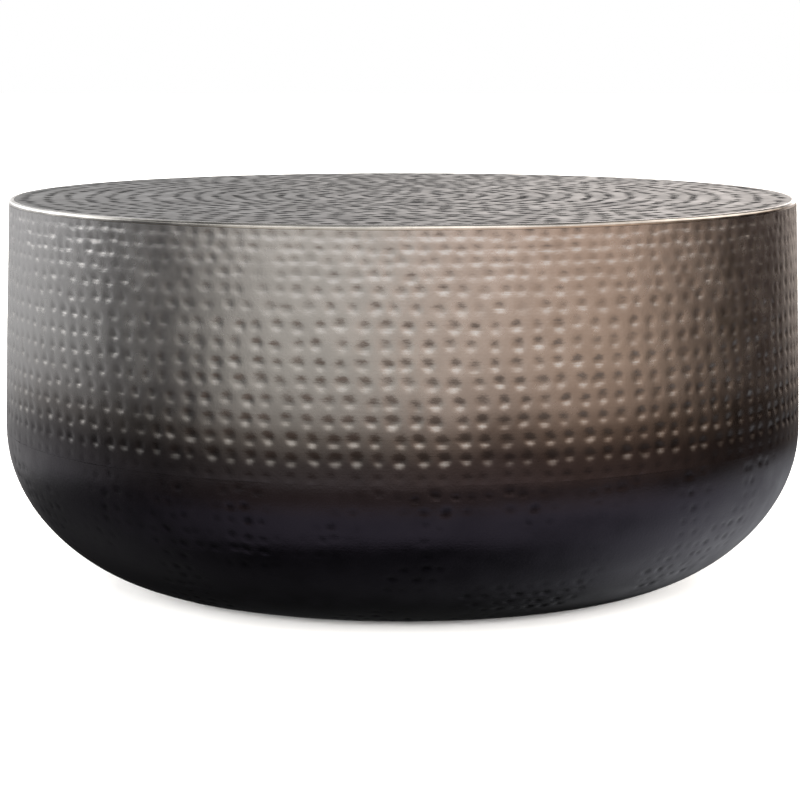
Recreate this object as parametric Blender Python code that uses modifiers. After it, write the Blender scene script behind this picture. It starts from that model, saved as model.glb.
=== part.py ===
"""Hammered drum coffee table: a sheet metal drum on a spun bowl base.

Units are metres, +Z is up, and the origin is on the floor at the drum's centre.
Every piece is its own object, and pieces that touch keep SEAT_GAP between them.
"""

import math

import bmesh
import bpy
from mathutils import Matrix, Vector

# Overall form
HEIGHT = 0.461
RIM_DIAMETER = 0.949
WALL_FLARE = 0.008
BELLY_HEIGHT = 0.186
FOOT_DIAMETER = 0.648
SHEET = 0.002
SEAT_GAP = 0.0003
DRILL_OVERRUN = 0.002

# Rim: a rebated edge bar, rounded outside, that carries the top panel's edge
RIM_WIDTH = 0.006
RIM_HEIGHT = 0.005
RIM_ROUND = 0.0035
RIM_LEDGE = 0.006

# Board under the top panel, and the angle hoop that carries it
BOARD_THICKNESS = 0.018
BOARD_CLEARANCE = 0.001
BOARD_EASING = 0.0015
HOOP_LEG = 0.030
HOOP_THICKNESS = 0.003
BOARD_SCREWS = 8
BOARD_SCREW_DIAMETER = 0.0045
BOARD_SCREW_GRIP = 0.012
BOARD_SCREW_HEAD = 0.009
BOARD_SCREW_HEAD_HEIGHT = 0.0028
BOARD_SCREW_CROWN = 0.0054

# Bowl: its curve, the lap neck inside the wall, the flat foot flange and the turned up mouth.
# A power of 1 is a quarter ellipse, and a greater one draws the curve in towards the foot.
BOWL_POWER = 1.33
LAP_HEIGHT = 0.012
FLANGE_WIDTH = 0.072
MOUTH_ROUND = 0.004
LIP_HEIGHT = 0.014

# Stiffening ring on the flange, and the floor glides under it
BASE_RING_WIDTH = 0.030
BASE_RING_THICKNESS = 0.004
GLIDES = 6
GLIDE_DIAMETER = 0.028
GLIDE_HEIGHT = 0.005
GLIDE_WEB = 0.002
GLIDE_CHAMFER = 0.001
GLIDE_SCREW_DIAMETER = 0.005
GLIDE_SCREW_HEAD = 0.010
GLIDE_SCREW_HEAD_HEIGHT = 0.0021
GLIDE_SCREW_STANDOUT = 0.0015
COUNTERBORE_CLEARANCE = 0.0005

# Facets
DRUM_SEGMENTS = 80
BOWL_SPANS = 7
ROUND_SPANS = 3
GLIDE_SEGMENTS = 16
SCREW_SEGMENTS = 8

RIM_RADIUS = RIM_DIAMETER / 2
BELLY_RADIUS = RIM_RADIUS + WALL_FLARE
FOOT_RADIUS = FOOT_DIAMETER / 2

# Levels, from the top down
PANEL_BOTTOM = HEIGHT - SHEET
BOARD_TOP = PANEL_BOTTOM - SEAT_GAP
BOARD_BOTTOM = BOARD_TOP - BOARD_THICKNESS
HOOP_TOP = BOARD_BOTTOM - SEAT_GAP
RIM_BOTTOM = HEIGHT - RIM_HEIGHT
WALL_TOP = RIM_BOTTOM - SEAT_GAP
WALL_BOTTOM = BELLY_HEIGHT + SEAT_GAP

# Levels, from the floor up
FLANGE_BOTTOM = GLIDE_HEIGHT + SEAT_GAP
RING_BOTTOM = FLANGE_BOTTOM + SHEET + SEAT_GAP
RING_TOP = RING_BOTTOM + BASE_RING_THICKNESS

# Radii that two pieces share
PANEL_RADIUS = RIM_RADIUS - RIM_WIDTH - SEAT_GAP
LEDGE_RADIUS = RIM_RADIUS - RIM_WIDTH - RIM_LEDGE
BOARD_RADIUS = LEDGE_RADIUS - BOARD_CLEARANCE
MOUTH_RADIUS = FOOT_RADIUS - FLANGE_WIDTH
GLIDE_CIRCLE = FOOT_RADIUS - FLANGE_WIDTH / 2


def wall_radius(z):
    """Outer radius of the drum wall, which flares evenly from rim to belly."""
    share = (HEIGHT - z) / (HEIGHT - BELLY_HEIGHT)
    return RIM_RADIUS + WALL_FLARE * share


def inner_radius(z):
    """Radius at which a piece seats against the inside of the wall."""
    return wall_radius(z) - SHEET - SEAT_GAP


HOOP_INNER = inner_radius(HOOP_TOP) - HOOP_LEG
BOARD_SCREW_CIRCLE = (BOARD_RADIUS + HOOP_INNER) / 2


def new_collection(name):
    collection = bpy.data.collections.new(name)
    bpy.context.scene.collection.children.link(collection)
    return collection


def new_material(name, colour, metallic, roughness):
    material = bpy.data.materials.new(name)
    material.use_nodes = True
    shader = material.node_tree.nodes["Principled BSDF"]
    shader.inputs["Base Color"].default_value = (*colour, 1.0)
    shader.inputs["Metallic"].default_value = metallic
    shader.inputs["Roughness"].default_value = roughness
    return material


def add_object(name, mesh, collection, material=None):
    piece = bpy.data.objects.new(name, mesh)
    collection.objects.link(piece)
    if material:
        mesh.materials.append(material)
    return piece


def add_part(name, mesh, material):
    return add_object(name, mesh, PARTS, material)


def profile_mesh(name, points, closed):
    """Line of (radius, height) points in the XZ plane, for a Screw modifier."""
    mesh = bpy.data.meshes.new(name)
    bm = bmesh.new()
    corners = [bm.verts.new((radius, 0.0, height)) for radius, height in points]
    pairs = list(zip(corners, corners[1:]))
    if closed:
        pairs.append((corners[-1], corners[0]))
    for start, end in pairs:
        bm.edges.new((start, end))
    bm.to_mesh(mesh)
    bm.free()
    return mesh


def turned(name, points, material, segments, closed=False):
    """Profile turned about Z. It runs down its outer side, top to bottom."""
    piece = add_part(name, profile_mesh(name, points, closed), material)
    screw = piece.modifiers.new("Turn", "SCREW")
    screw.steps = segments
    screw.render_steps = segments
    screw.use_merge_vertices = True
    screw.merge_threshold = 0.00001
    screw.use_smooth_shade = True
    return piece


def add_thickness(piece):
    """Sheet thickness, grown inwards from the outer skin."""
    shell = piece.modifiers.new("Sheet", "SOLIDIFY")
    shell.thickness = SHEET
    shell.offset = -1.0
    shell.use_even_offset = True


def arc(centre, radius, start, end, spans):
    """Points of an arc in the profile plane, with angles in degrees from +X."""
    angles = [math.radians(start + (end - start) * k / spans) for k in range(spans + 1)]
    return [(centre[0] + radius * math.cos(a), centre[1] + radius * math.sin(a)) for a in angles]


def around(count, circle, height):
    """Evenly spaced places on a circle, the first one half a step from +X."""
    step = 2 * math.pi / count
    return [
        Vector((circle * math.cos(step * (k + 0.5)), circle * math.sin(step * (k + 0.5)), height))
        for k in range(count)
    ]


def drill(piece, label, count, circle, diameter, bottom, top):
    """Cut evenly spaced straight holes on a circle, from one height to another."""
    mesh = bpy.data.meshes.new(label)
    bm = bmesh.new()
    for place in around(count, circle, (bottom + top) / 2):
        bmesh.ops.create_cone(
            bm,
            cap_ends=True,
            segments=SCREW_SEGMENTS,
            radius1=diameter / 2,
            radius2=diameter / 2,
            depth=top - bottom,
            matrix=Matrix.Translation(place),
        )
    bm.to_mesh(mesh)
    bm.free()
    cutter = add_object(label, mesh, CUTTERS)
    cutter.hide_render = True
    cutter.display_type = "WIRE"
    cut = piece.modifiers.new(label, "BOOLEAN")
    cut.operation = "DIFFERENCE"
    cut.object = cutter


def copies(name, places, points, material, segments, closed=False):
    """One turned piece at each place, sharing one profile."""
    for number, place in enumerate(places, start=1):
        turned(f"{name}_{number}", points, material, segments, closed).location = place


def adopt(name, material):
    """Name the primitive that was just added and move it to the parts."""
    piece = bpy.context.object
    piece.name = name
    for collection in list(piece.users_collection):
        collection.objects.unlink(piece)
    PARTS.objects.link(piece)
    piece.data.materials.append(material)
    return piece


def make_top_panel():
    bpy.ops.mesh.primitive_cylinder_add(
        vertices=DRUM_SEGMENTS,
        radius=PANEL_RADIUS,
        depth=SHEET,
        location=(0.0, 0.0, PANEL_BOTTOM + SHEET / 2),
    )
    adopt("top_panel", PEWTER)


def make_rim_bar():
    ledge = PANEL_BOTTOM - SEAT_GAP
    crown = arc((RIM_RADIUS - RIM_ROUND, HEIGHT - RIM_ROUND), RIM_ROUND, 90, 0, ROUND_SPANS)
    points = [(RIM_RADIUS - RIM_WIDTH, HEIGHT)] + crown
    points += [(RIM_RADIUS, RIM_BOTTOM), (LEDGE_RADIUS, RIM_BOTTOM)]
    points += [(LEDGE_RADIUS, ledge), (RIM_RADIUS - RIM_WIDTH, ledge)]
    turned("rim_bar", points, POLISHED, DRUM_SEGMENTS, closed=True)


def make_side_wall():
    points = [(wall_radius(WALL_TOP), WALL_TOP), (wall_radius(WALL_BOTTOM), WALL_BOTTOM)]
    add_thickness(turned("side_wall", points, BRONZE, DRUM_SEGMENTS))


def bowl_curve():
    """Curve from the belly, where it hangs straight down, to the flat foot."""
    reach = BELLY_RADIUS - FOOT_RADIUS
    drop = BELLY_HEIGHT - FLANGE_BOTTOM
    angles = [math.pi / 2 * k / BOWL_SPANS for k in range(BOWL_SPANS + 1)]
    return [
        (FOOT_RADIUS + reach * abs(math.cos(a)) ** BOWL_POWER, BELLY_HEIGHT - drop * math.sin(a))
        for a in angles
    ]


def make_base_bowl():
    lap_top = BELLY_HEIGHT + LAP_HEIGHT
    lap = [(inner_radius(lap_top), lap_top), (inner_radius(BELLY_HEIGHT), BELLY_HEIGHT)]
    corner = (MOUTH_RADIUS + MOUTH_ROUND, FLANGE_BOTTOM + MOUTH_ROUND)
    mouth = arc(corner, MOUTH_ROUND, 270, 180, ROUND_SPANS)
    lip = [(MOUTH_RADIUS, FLANGE_BOTTOM + LIP_HEIGHT)]
    bowl = turned("base_bowl", lap + bowl_curve() + mouth + lip, BLACKENED, DRUM_SEGMENTS)
    add_thickness(bowl)
    hole = GLIDE_SCREW_DIAMETER + 2 * SEAT_GAP
    bottom = FLANGE_BOTTOM - DRILL_OVERRUN
    top = FLANGE_BOTTOM + SHEET + DRILL_OVERRUN
    drill(bowl, "flange_holes", GLIDES, GLIDE_CIRCLE, hole, bottom, top)


def make_top_board():
    bpy.ops.mesh.primitive_cylinder_add(
        vertices=DRUM_SEGMENTS,
        radius=BOARD_RADIUS,
        depth=BOARD_THICKNESS,
        location=(0.0, 0.0, BOARD_BOTTOM + BOARD_THICKNESS / 2),
    )
    board = adopt("top_board", FIBREBOARD)
    easing = board.modifiers.new("Easing", "BEVEL")
    easing.width = BOARD_EASING
    easing.segments = 1
    easing.limit_method = "ANGLE"
    hole = BOARD_SCREW_DIAMETER + 2 * SEAT_GAP
    bottom = BOARD_BOTTOM - DRILL_OVERRUN
    top = BOARD_BOTTOM + BOARD_SCREW_GRIP + SEAT_GAP
    drill(board, "pilot_holes", BOARD_SCREWS, BOARD_SCREW_CIRCLE, hole, bottom, top)


def make_top_hoop():
    foot = HOOP_TOP - HOOP_LEG
    under = HOOP_TOP - HOOP_THICKNESS
    points = [
        (HOOP_INNER, HOOP_TOP),
        (inner_radius(HOOP_TOP), HOOP_TOP),
        (inner_radius(foot), foot),
        (inner_radius(foot) - HOOP_THICKNESS, foot),
        (inner_radius(under) - HOOP_THICKNESS, under),
        (HOOP_INNER, under),
    ]
    hoop = turned("top_hoop", points, STEEL, DRUM_SEGMENTS, closed=True)
    hole = BOARD_SCREW_DIAMETER + 2 * SEAT_GAP
    bottom = under - DRILL_OVERRUN
    top = HOOP_TOP + DRILL_OVERRUN
    drill(hoop, "hoop_holes", BOARD_SCREWS, BOARD_SCREW_CIRCLE, hole, bottom, top)


def make_board_screws():
    """Round headed screws, driven up through the hoop into the board."""
    seat = HOOP_TOP - HOOP_THICKNESS - SEAT_GAP
    tip = BOARD_BOTTOM + BOARD_SCREW_GRIP - seat
    shank = BOARD_SCREW_DIAMETER / 2
    head = BOARD_SCREW_HEAD / 2
    point = BOARD_SCREW_DIAMETER
    points = [
        (0.0, tip),
        (shank, tip - point),
        (shank, 0.0),
        (head, 0.0),
        (head, -BOARD_SCREW_HEAD_HEIGHT / 2),
        (BOARD_SCREW_CROWN / 2, -BOARD_SCREW_HEAD_HEIGHT),
        (0.0, -BOARD_SCREW_HEAD_HEIGHT),
    ]
    places = around(BOARD_SCREWS, BOARD_SCREW_CIRCLE, seat)
    copies("board_screw", places, points, ZINC, SCREW_SEGMENTS)


def make_base_ring():
    outer = GLIDE_CIRCLE + BASE_RING_WIDTH / 2
    inner = GLIDE_CIRCLE - BASE_RING_WIDTH / 2
    points = [
        (inner, RING_TOP),
        (outer, RING_TOP),
        (outer, RING_BOTTOM),
        (inner, RING_BOTTOM),
    ]
    ring = turned("base_ring", points, STEEL, DRUM_SEGMENTS, closed=True)
    hole = GLIDE_SCREW_DIAMETER + 2 * SEAT_GAP
    bottom = RING_BOTTOM - DRILL_OVERRUN
    top = RING_TOP + DRILL_OVERRUN
    drill(ring, "ring_holes", GLIDES, GLIDE_CIRCLE, hole, bottom, top)


def make_glides():
    """Nylon feet with a counterbore that hides the screw head."""
    edge = GLIDE_DIAMETER / 2
    bore = GLIDE_SCREW_DIAMETER / 2 + SEAT_GAP
    pocket = GLIDE_SCREW_HEAD / 2 + COUNTERBORE_CLEARANCE
    web = GLIDE_HEIGHT - GLIDE_WEB
    points = [
        (bore, GLIDE_HEIGHT),
        (edge, GLIDE_HEIGHT),
        (edge, GLIDE_CHAMFER),
        (edge - GLIDE_CHAMFER, 0.0),
        (pocket, 0.0),
        (pocket, web),
        (bore, web),
    ]
    copies("glide", around(GLIDES, GLIDE_CIRCLE, 0.0), points, NYLON, GLIDE_SEGMENTS, closed=True)


def make_glide_screws():
    """Flat headed screws, driven up through glide, flange and ring."""
    seat = GLIDE_HEIGHT - GLIDE_WEB - SEAT_GAP
    tip = RING_TOP + GLIDE_SCREW_STANDOUT - seat
    shank = GLIDE_SCREW_DIAMETER / 2
    head = GLIDE_SCREW_HEAD / 2
    points = [
        (0.0, tip),
        (shank, tip),
        (shank, 0.0),
        (head, 0.0),
        (head, -GLIDE_SCREW_HEAD_HEIGHT),
        (0.0, -GLIDE_SCREW_HEAD_HEIGHT),
    ]
    copies("glide_screw", around(GLIDES, GLIDE_CIRCLE, seat), points, ZINC, SCREW_SEGMENTS)


for leftover in list(bpy.data.objects):
    bpy.data.objects.remove(leftover, do_unlink=True)

PARTS = new_collection("hammered_drum_table")
CUTTERS = new_collection("cutters")

PEWTER = new_material("hammered pewter sheet", (0.26, 0.25, 0.25), 1.0, 0.34)
POLISHED = new_material("polished rim", (0.80, 0.79, 0.77), 1.0, 0.16)
BRONZE = new_material("hammered bronze sheet", (0.19, 0.16, 0.14), 1.0, 0.36)
BLACKENED = new_material("blackened bowl sheet", (0.014, 0.014, 0.016), 1.0, 0.38)
FIBREBOARD = new_material("fibreboard", (0.40, 0.29, 0.18), 0.0, 0.85)
STEEL = new_material("mill steel", (0.16, 0.16, 0.17), 1.0, 0.50)
ZINC = new_material("zinc plated steel", (0.55, 0.55, 0.56), 1.0, 0.35)
NYLON = new_material("black nylon", (0.02, 0.02, 0.02), 0.0, 0.55)

make_top_panel()
make_rim_bar()
make_side_wall()
make_base_bowl()
make_top_board()
make_top_hoop()
make_board_screws()
make_base_ring()
make_glides()
make_glide_screws()
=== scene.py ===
"""Hammered drum coffee table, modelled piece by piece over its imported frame.

Metres, +Z up, origin on the floor at the drum's centre. The camera looks along +Y.
"""

import math
from collections import namedtuple

import bmesh
import bpy
import numpy as np
from bpy.props import FloatProperty, FloatVectorProperty, IntProperty, PointerProperty
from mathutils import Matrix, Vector, kdtree, noise


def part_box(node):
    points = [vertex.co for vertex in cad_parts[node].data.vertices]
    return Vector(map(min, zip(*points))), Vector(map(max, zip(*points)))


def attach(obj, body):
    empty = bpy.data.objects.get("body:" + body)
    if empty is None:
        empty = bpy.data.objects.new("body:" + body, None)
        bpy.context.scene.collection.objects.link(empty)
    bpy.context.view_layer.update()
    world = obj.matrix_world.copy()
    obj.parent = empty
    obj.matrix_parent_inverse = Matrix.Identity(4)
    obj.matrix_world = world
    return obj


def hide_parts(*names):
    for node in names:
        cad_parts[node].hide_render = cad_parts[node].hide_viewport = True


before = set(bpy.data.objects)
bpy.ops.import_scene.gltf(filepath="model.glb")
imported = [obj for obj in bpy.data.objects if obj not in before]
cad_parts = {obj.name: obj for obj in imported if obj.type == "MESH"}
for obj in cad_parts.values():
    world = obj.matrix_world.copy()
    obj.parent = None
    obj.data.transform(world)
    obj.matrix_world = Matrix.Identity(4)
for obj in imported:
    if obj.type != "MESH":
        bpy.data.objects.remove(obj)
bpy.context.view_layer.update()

bl_info = {
    "name": "Hammered Drum Table",
    "version": (1, 0, 0),
    "blender": (4, 5, 0),
    "location": "View3D > Sidebar > Drum Table",
    "description": "Models a hammered sheet metal drum table over its packed frame",
    "category": "Object",
}

FULL_TURN = 2 * math.pi
QUARTER = math.pi / 2
MM = 0.001
MERGE = MM / 100
SMOOTH_ANGLE = math.radians(35)
SEED = 7

WALL_LOW, WALL_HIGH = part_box("side_wall")
BOWL_LOW, BOWL_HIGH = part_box("base_bowl")
RIM_LOW, RIM_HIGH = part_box("rim_bar")
PANEL_LOW, PANEL_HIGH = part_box("top_panel")
BOARD_LOW, BOARD_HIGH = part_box("top_board")
HOOP_LOW, HOOP_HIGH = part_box("top_hoop")
RING_LOW, RING_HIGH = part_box("base_ring")
GLIDE_LOW, GLIDE_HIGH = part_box("glide_1")

SEAT_GAP = 0.0003
FLANGE_WIDTH = 0.072
BELLY_HEIGHT = WALL_LOW.z - SEAT_GAP
GLIDE_CIRCLE = ((GLIDE_LOW + GLIDE_HIGH) / 2).to_2d().length
BOARD_SCREWS = [f"board_screw_{k + 1}" for k in range(8)]
GLIDES = [f"glide_{k + 1}" for k in range(6)]
GLIDE_SCREWS = [f"glide_screw_{k + 1}" for k in range(6)]

# Steps in which the pieces are turned, spans of the bowl's outside and lining, and cells across the top
WALL_STEPS, BOWL_STEPS, RIM_STEPS, BOARD_STEPS, HOOP_STEPS, RING_STEPS = 900, 800, 720, 360, 360, 240
GLIDE_STEPS, SCREW_STEPS, HOLE_STEPS, THREAD_STEPS = 48, 24, 24, 20
BOWL_SPANS, LINING_SPANS = 88, 12
TOP_CELLS = 300

# More than 1 bends the wall's flare, so that it meets the belly upright
FLARE_POWER = 1.25
# Slow waves that hand work leaves in a sheet: length and height in mm
WAVES = ((110, 0.40), (36, 0.10))
# Edge of a hollow: how far it wavers, the length of a waver, and how steeply the hollow starts there
RAGGED, RAGGED_SPAN, HOLLOW_POWER = 0.42, 6 * MM, 1.5
# Levels at which the mesh of the wall is cut for each row of blows, as shares of a blow's half height
ROW_LEVELS = (-1.0, -0.6, -0.2, 0.0, 0.2, 0.6, 1.0)
# Half the height of the band that a row of blows under the rim presses in
PRESS_HALF = 4 * MM

# Rows of the wall over which blows spread apart, grow bold and get deepest: the first row, and how many
SPREAD_ROWS, BOLD_ROWS, DEEP_ROWS = (0.8, 5), (2, 6), (9, 3)
# Fine and bold blows of the wall: strength, scale, stretch and looseness in mm
BLOW_STRENGTH, BLOW_SCALE, BLOW_STRETCH, BLOW_LOOSE = (0.60, 0.98), (0.84, 1.0), (1.08, 1.0), (2.6, 1.4)
DEEP_STRENGTH = 0.12
LAST_ROW_STRENGTH, LAST_ROW_SCALE = 0.45, 0.78

# Blows in a ring of the top, by the share of the rim's radius outside which a ring has that many
TOP_BANDS = ((0.94, 105), (0.72, 84), (0.54, 66), (0.46, 58), (0.36, 48), (0.27, 38), (0.22, 30))
# Further in, blows keep this step
TOP_STEP, FEWEST_BLOWS = 0.027, 4

# Where the patina was carried higher: azimuth (0 towards the camera) and width in degrees, and height
PATINA_RISES = (
    (-50, 22, 0.015),
    (13, 7, 0.013),
    (34, 14, 0.004),
    (72, 16, 0.007),
    (118, 24, 0.012),
    (166, 12, 0.006),
    (-118, 14, 0.004),
    (-152, 20, 0.010),
)
# How much lower it stops elsewhere
PATINA_DROP = 3.5 * MM

# Colours of the patina up the drum, by height in metres
OMBRE = (
    (0.000, "black"),
    (0.150, "black"),
    (0.208, "umber"),
    (0.236, "patina"),
    (0.265, "bronze"),
    (0.312, "pewter_warm"),
    (0.450, "pewter"),
)
# Colours of the painted highlight on the lower lips of the blows, which face up, by height in metres
LIP_HIGHLIGHT_BANDS = (
    (0.187, "black"),
    (0.200, "bronze"),
    (0.224, "lip_highlight"),
    (0.450, "lip_highlight"),
)
# Nearly all values of a noise texture lie between these
NOISE_SPAN = (0.3, 0.7)
# Darkest and lightest tone of a small part's mottled finish
MOTTLE = (0.72, 1.12)

# Low suns that wash the floor white: how many, tilt from overhead, strength and width
WASH_SUNS, WASH_TILT, WASH_STRENGTH, WASH_WIDTH = 8, math.radians(76), 3.0, math.radians(22)
SENSOR_WIDTH = 36.0

Blow = namedtuple("Blow", "centre along length width sink lean")


def linear(code):
    """Linear colour of an sRGB hex value."""
    channels = [(code >> shift & 255) / 255 for shift in (16, 8, 0)]
    return tuple(c / 12.92 if c <= 0.04045 else ((c + 0.055) / 1.055) ** 2.4 for c in channels)


def length(name, description, default):
    """Property that holds a size in metres."""
    return FloatProperty(name=name, description=description, default=default, unit="LENGTH", precision=5)


def colour(name, description, code):
    """Property that holds a finish's colour."""
    return FloatVectorProperty(
        name=name, description=description, default=linear(code), subtype="COLOR", min=0.0, max=1.0
    )


def angle(name, description, degrees):
    """Property that holds a turn."""
    turn = math.radians(degrees)
    return FloatProperty(name=name, description=description, default=turn, unit="ROTATION")


class DrumSizes(bpy.types.PropertyGroup):
    """Form of the drum, from the frame where the frame gives it"""

    height: length("Height", "Floor to table top", PANEL_HIGH.z)
    rim_radius: length("Rim radius", "Outside of the edge bar", RIM_HIGH.x)
    belly_radius: length("Belly radius", "Widest part, where wall and bowl meet", BOWL_HIGH.x)
    belly_height: length("Belly height", "Floor to the joint of wall and bowl", BELLY_HEIGHT)
    foot_radius: length("Foot radius", "Where the bowl turns flat", GLIDE_CIRCLE + FLANGE_WIDTH / 2)
    mouth_radius: length("Mouth radius", "Round opening in the foot", GLIDE_CIRCLE - FLANGE_WIDTH / 2)
    bowl_power: FloatProperty(
        name="Bowl power",
        description="1 is a quarter ellipse, and more draws the curve in towards the foot",
        default=1.33,
    )
    mouth_round: length("Mouth rounding", "Outer radius of the turned up edge", 0.004)
    lip_height: length("Lip height", "Height of the turned up edge", 0.014)
    lap_height: length("Lap height", "Neck of the bowl inside the wall", BOWL_HIGH.z - BELLY_HEIGHT)
    sheet: length("Sheet", "Thickness of the sheet metal", 0.002)
    seat_gap: length("Seat gap", "Room that a welded seam keeps in the model", SEAT_GAP)
    rim_width: length("Rim width", "Edge bar seen from above", 0.006)
    rim_round: length("Rim rounding", "Radius on the edge bar's outside", 0.0035)


class HammerSizes(bpy.types.PropertyGroup):
    """Hammer blows on wall, bowl and top"""

    first_row: length("First row", "Rim to the middle of the first row", 0.0116)
    upper_pitch: length("Upper row pitch", "Between rows under the rim", 0.0135)
    lower_pitch: length("Lower row pitch", "Between rows on the belly", 0.0201)
    upper_step: length("Upper step", "Between blows of a row under the rim", 0.0185)
    lower_step: length("Lower step", "Between blows of a row on the belly", 0.0233)
    wall_rows: IntProperty(name="Wall rows", description="Rows of blows on the wall", default=15)
    wall_blow: length("Wall blow", "Half the height of a hollow on the wall", 0.0079)
    wall_stretch: FloatProperty(
        name="Wall stretch", description="Length of a hollow on the wall over its height", default=1.05
    )
    wall_sink: length("Wall sink", "Depth of a hollow on the wall", 0.00115)
    row_press: length("Row press", "Depth to which a row under the rim is pressed in", 0.00014)
    bowl_blow: length("Bowl blow", "Radius of a hollow on the bowl", 0.0048)
    bowl_pitch: length("Bowl row pitch", "Between rows of blows on the bowl", 0.0165)
    bowl_step: length("Bowl step", "Between blows of a row on the bowl", 0.0195)
    bowl_sink: length("Bowl sink", "Depth of a hollow on the bowl", 0.0012)
    ring_pitch: length("Ring pitch", "Between rings of blows on the top", 0.0255)
    top_margin: length("Top margin", "Edge of the top to the outermost ring", 0.0127)
    top_blow: length("Top blow", "Radius of a hollow on the top", 0.0086)
    top_sink: length("Top sink", "Depth of a hollow on the top", 0.0012)


class FixingSizes(bpy.types.PropertyGroup):
    """Board, steel, screws and glides inside the drum"""

    board_easing: length("Board easing", "Rounding of the board's edges", 0.0015)
    hoop_leg: length("Hoop leg", "Width of the rolled angle's legs", HOOP_HIGH.z - HOOP_LOW.z)
    hoop_steel: length("Hoop steel", "Thickness of the rolled angle", 0.003)
    hoop_fillet: length("Hoop fillet", "Rounding in the corner of the angle", 0.003)
    toe_round: length("Toe rounding", "Rounding of the angle's toes", 0.0012)
    ring_width: length("Ring width", "Flat ring on the foot flange", 0.030)
    ring_round: length("Ring rounding", "Rolled edges of the flat ring", 0.0008)
    board_screw: length("Board screw", "Diameter over the thread", 0.0045)
    board_screw_head: length("Board screw head", "Diameter of the pan head", 0.009)
    board_screw_pitch: length("Board screw pitch", "Coarse thread for board", 0.0018)
    glide_screw: length("Glide screw", "Diameter over the thread", 0.005)
    glide_screw_head: length("Glide screw head", "Diameter of the flat head", 0.010)
    glide_screw_pitch: length("Glide screw pitch", "Metric thread", 0.0008)
    glide_web: length("Glide web", "Nylon under the screw's head", 0.002)
    glide_round: length("Glide rounding", "Edge that slides on the floor", 0.001)
    hole_clearance: length("Hole clearance", "Room round a screw", 0.0003)
    pocket_clearance: length("Pocket clearance", "Room round a glide screw's head", 0.0005)


class FinishColours(bpy.types.PropertyGroup):
    """Colours of the finishes"""

    pewter: colour("Pewter", "Wall under the rim", 0xA8A7A7)
    pewter_warm: colour("Warm pewter", "Middle of the wall", 0x999897)
    bronze: colour("Bronze", "Where the patina starts", 0x838180)
    # Painted highlight: this colour is painted on the lower lip of each blow where it faces up.
    lip_highlight: colour("Lip highlight", "Lower lip of each blow, lightened as a painted highlight where it faces up", 0xB0ACA8)
    patina: colour("Patina", "Row of blows over the lower edge", 0x5B5755)
    umber: colour("Umber", "Lower edge of the wall", 0x383435)
    black: colour("Black", "Blackened bowl", 0x343138)
    top: colour("Top", "Hammered top sheet", 0x7B7A7A)
    rim: colour("Rim", "Burnished edge", 0xB4B1AC)
    fibre: colour("Fibreboard", "Board under the top", 0x9C7A52)
    mill: colour("Mill steel", "Hoop and ring inside", 0x6E6F72)
    zinc: colour("Zinc", "Screws", 0xB9BBBE)
    nylon: colour("Nylon", "Floor glides", 0x1C1C1D)
    paper: colour("Paper", "Studio floor", 0xF2F1EF)


class StudioSizes(bpy.types.PropertyGroup):
    """Camera and floor"""

    camera_side: length("Camera side", "Sideways from the drum's centre", -0.0033)
    camera_back: length("Camera distance", "Drum's centre to the lens", 3.3215)
    camera_height: length("Camera height", "Floor to the lens", 0.6804)
    camera_dip: angle("Camera dip", "Lens below the horizon", 8.067)
    lens: FloatProperty(name="Lens", description="Focal length", default=122.78, unit="CAMERA")
    floor: length("Floor", "Width of the paper sweep", 40.0)


def deselect():
    """Leave edit mode and drop the selection, so that an operator acts on the new piece alone."""
    if bpy.context.object and bpy.context.object.mode != "OBJECT":
        bpy.ops.object.mode_set(mode="OBJECT")
    bpy.ops.object.select_all(action="DESELECT")


def name_piece(name):
    piece = bpy.context.object
    piece.name = name
    piece.data.name = name
    return piece


def select_verts(piece, wanted):
    """In edit mode, select just the vertices with these numbers."""
    bpy.ops.mesh.select_all(action="DESELECT")
    work = bmesh.from_edit_mesh(piece.data)
    work.verts.ensure_lookup_table()
    for index in wanted:
        work.verts[index].select = True
    work.select_flush_mode()
    bmesh.update_edit_mesh(piece.data)


def turned(name, section, steps, rise=0.0, turns=1):
    """Draw a section point by point and turn it round the upright axis, or wind it up as a thread.

    A section that starts and ends on the axis is left open there, and any other is closed first.
    """
    deselect()
    bpy.ops.mesh.primitive_plane_add(size=MM)
    piece = name_piece(name)
    places = [Vector((radius, 0.0, height)) for radius, height in section]
    bpy.ops.object.mode_set(mode="EDIT")
    bpy.ops.mesh.select_all(action="SELECT")
    bpy.ops.mesh.merge(type="CENTER")
    bpy.ops.transform.translate(value=places[0])
    for start, end in zip(places, places[1:]):
        bpy.ops.mesh.extrude_region_move(TRANSFORM_OT_translate={"value": end - start})
    if places[0].x > 0:
        select_verts(piece, (0, len(places) - 1))
        bpy.ops.mesh.edge_face_add()
    bpy.ops.object.mode_set(mode="OBJECT")
    turn = piece.modifiers.new("Turn", "SCREW")
    turn.steps = turn.render_steps = steps
    turn.screw_offset = rise
    turn.iterations = turns
    turn.use_merge_vertices = rise == 0.0
    turn.merge_threshold = MERGE
    bpy.ops.object.modifier_apply(modifier=turn.name)
    bpy.ops.object.mode_set(mode="EDIT")
    if rise:
        bpy.ops.mesh.select_all(action="SELECT")
        bpy.ops.mesh.fill_holes(sides=0)
    close_mesh()
    return piece


def close_mesh():
    """Merge doubles, turn the faces outwards and shade the piece smooth between its edges."""
    bpy.ops.mesh.select_all(action="SELECT")
    bpy.ops.mesh.remove_doubles(threshold=MERGE)
    bpy.ops.mesh.normals_make_consistent(inside=False)
    bpy.ops.object.mode_set(mode="OBJECT")
    bpy.ops.object.shade_smooth_by_angle(angle=SMOOTH_ANGLE)


def pick(piece):
    """Make one piece the selected and active one."""
    deselect()
    piece.select_set(True)
    bpy.context.view_layer.objects.active = piece


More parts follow.
